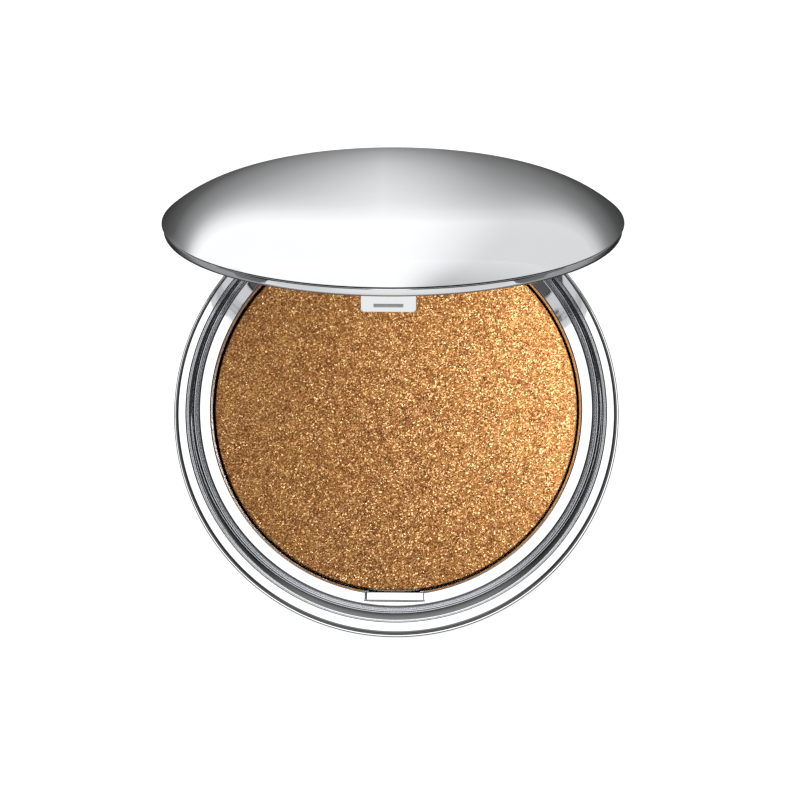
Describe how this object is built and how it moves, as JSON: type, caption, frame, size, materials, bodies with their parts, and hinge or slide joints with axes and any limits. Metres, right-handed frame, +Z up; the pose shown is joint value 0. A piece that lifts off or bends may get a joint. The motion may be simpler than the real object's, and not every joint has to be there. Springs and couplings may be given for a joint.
{
  "type": "powder compact",
  "caption": "Round mirror-bright powder compact standing open: domed hinged lid with mirror and latch tongue over a ringed base holding a pan of bronze pressed powder.",
  "frame": {"origin": "centre of the underside, on the surface the compact rests on", "axes": "+Z up out of the base, +Y towards the hinge, -Y towards the latch, +X to the right"},
  "size_m": [0.075, 0.0818, 0.0778],
  "materials": {
    "chrome_plating": "mirror-bright plating over moulded ABS",
    "satin_plating": "satin",
    "pan_metal": "plain pressed sheet",
    "adhesive": "matte",
    "powder": "pressed mineral powder with a fine metallic shimmer",
    "label": "satin, blank",
    "pin_steel": "drawn wire",
    "mirror": "polished"
  },
  "bodies": {
    "base": {"base_shell": "chrome_plating", "base_frame": "chrome_plating", "powder_pan": "pan_metal", "pan_adhesive": "adhesive", "pressed_powder": "powder", "base_label": "label", "hinge_pin": "pin_steel"},
    "lid": {"lid_shell": "chrome_plating", "lid_frame": "chrome_plating", "mirror_glass": "mirror", "mirror_tape": "adhesive", "latch_tongue": "satin_plating"}
  },
  "joints": [
    {"name": "lid_hinge", "type": "hinge", "parent": "base", "child": "lid", "pos_m": [0, 0.038, 0.00565], "axis": [-1, 0, 0], "range_deg": [-68, 52]}
  ]
}
